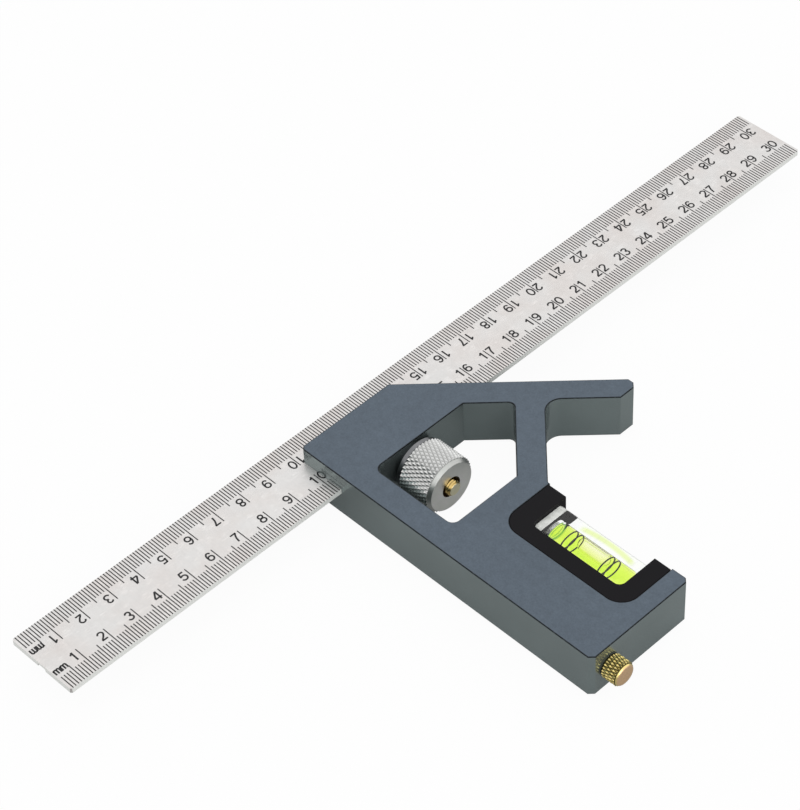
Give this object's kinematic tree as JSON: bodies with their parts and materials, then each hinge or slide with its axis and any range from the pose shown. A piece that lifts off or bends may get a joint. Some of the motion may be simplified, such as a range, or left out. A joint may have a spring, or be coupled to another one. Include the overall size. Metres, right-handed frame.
{
  "type": "adjustable square",
  "caption": "Adjustable square: graduated steel blade sliding through a metal head with a shoulder, mitre face, spirit level, knurled clamp knob and pull-out scriber.",
  "frame": {"origin": "on the shoulder face, at the blade's inner edge, halfway through the head's thickness", "axes": "+X right along the shoulder towards the scriber, +Y along the blade away from the shoulder, +Z through the thickness towards the face seen in the picture"},
  "size_m": [0.1295, 0.305, 0.0186],
  "materials": {
    "head_alloy": "satin blasted and anodised grey",
    "blade_steel": "satin stainless steel",
    "brass": "turned brass",
    "spring_steel": "bright spring wire",
    "knob_metal": "turned and knurled, bright satin",
    "holder_plastic": "moulded black plastic",
    "vial_acrylic": "clear polished acrylic",
    "vial_liquid": "yellow-green level liquid",
    "ring_black": "black",
    "scriber_steel": "ground hardened steel"
  },
  "bodies": {
    "head": {"head": "head_alloy", "vial_holder": "holder_plastic", "vial_body": "vial_acrylic", "vial_plug": "vial_acrylic", "vial_liquid": "vial_liquid", "vial_rings": "ring_black", "scriber_sleeve": "brass"},
    "blade": {"blade": "blade_steel"},
    "bolt": {"clamp_bolt": "brass", "clamp_spring": "spring_steel"},
    "knob": {"clamp_knob": "knob_metal"},
    "scriber": {"scriber_pin": "scriber_steel", "scriber_head": "brass"}
  },
  "joints": [
    {"name": "blade_slide", "type": "slide", "parent": "head", "child": "blade", "axis": [0, 1, 0], "range_m": [-0.17, 0.12]},
    {"name": "knob_turn", "type": "hinge", "parent": "head", "child": "knob", "pos_m": [0.012, 0.0241, 0], "axis": [1, 0, 0], "range_deg": [0, 270]},
    {"name": "bolt_draw", "type": "slide", "parent": "head", "child": "bolt", "axis": [1, 0, 0], "range_m": [-0.0006, 0]},
    {"name": "scriber_pull", "type": "slide", "parent": "head", "child": "scriber", "axis": [1, 0, 0], "range_m": [0, 0.058]}
  ],
  "couplings": [
    {"joint": "bolt_draw", "follows": "knob_turn", "m_per_rad": -0.00012732}
  ]
}
